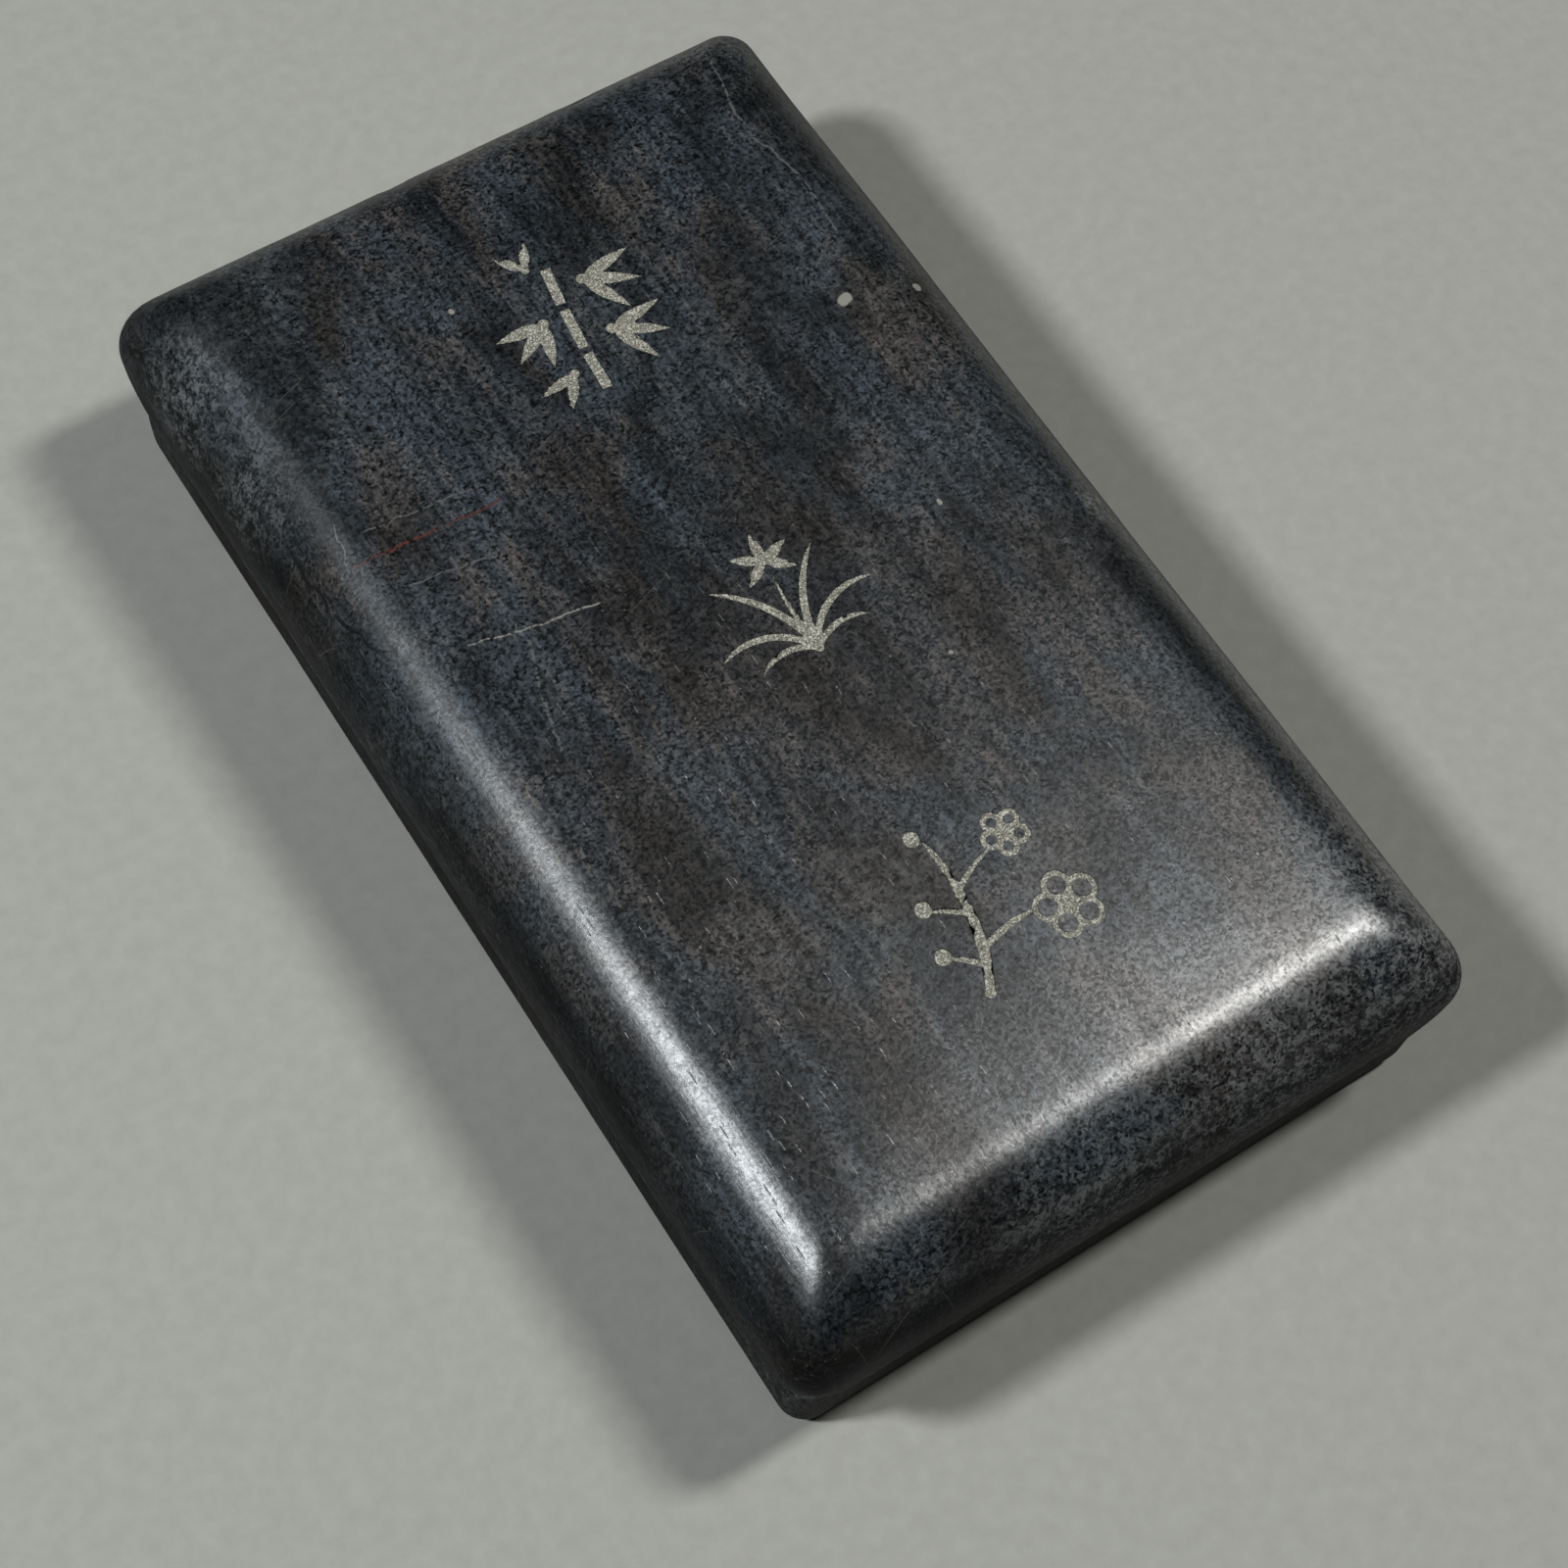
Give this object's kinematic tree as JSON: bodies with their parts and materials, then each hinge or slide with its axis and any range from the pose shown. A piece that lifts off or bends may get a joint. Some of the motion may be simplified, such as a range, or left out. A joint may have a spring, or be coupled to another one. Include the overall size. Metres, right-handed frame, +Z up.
{
  "type": "lidded inkstone case",
  "caption": "Lidded hardwood case with a softly crowned, carved lid over a tray that holds an inkstone and its ink stick.",
  "frame": {"origin": "middle of the underside, on the surface that the case stands on", "axes": "+Y along the case and the grain, towards the top of the carved row; +X to the right of a reader facing the row; +Z up out of the lid"},
  "size_m": [0.076, 0.13, 0.028],
  "materials": {
    "lid_wood": "waxed near-black hardwood, worn satin, hairline scratches",
    "base_wood": "waxed near-black hardwood, dull satin",
    "pigment": "dry, speckled silvery mineral pigment in carved grooves",
    "slate": "fine honed slate, soft sheen",
    "ink": "moulded soot and glue, dull with polished edges",
    "gilding": "worn gilt relief"
  },
  "bodies": {
    "base": {"base": "base_wood"},
    "lid": {"lid": "lid_wood", "bamboo_inlay": "pigment", "orchid_inlay": "pigment", "blossom_inlay": "pigment"},
    "inkstone": {"inkstone": "slate"},
    "ink_stick": {"ink_stick": "ink", "stick_gilding": "gilding"}
  },
  "joints": [
    {"name": "lid_lift", "type": "slide", "parent": "base", "child": "lid", "axis": [0, 0, 1], "range_m": [0, 0.12]},
    {"name": "stone_lift", "type": "slide", "parent": "base", "child": "inkstone", "axis": [0, 0, 1], "range_m": [0, 0.04]},
    {"name": "stick_lift", "type": "slide", "parent": "inkstone", "child": "ink_stick", "axis": [0, 0, 1], "range_m": [0, 0.04]}
  ],
  "couplings": [
    {"joint": "stone_lift", "follows": "lid_lift", "ratio": 0.3333},
    {"joint": "stick_lift", "follows": "lid_lift", "ratio": 0.3333}
  ]
}
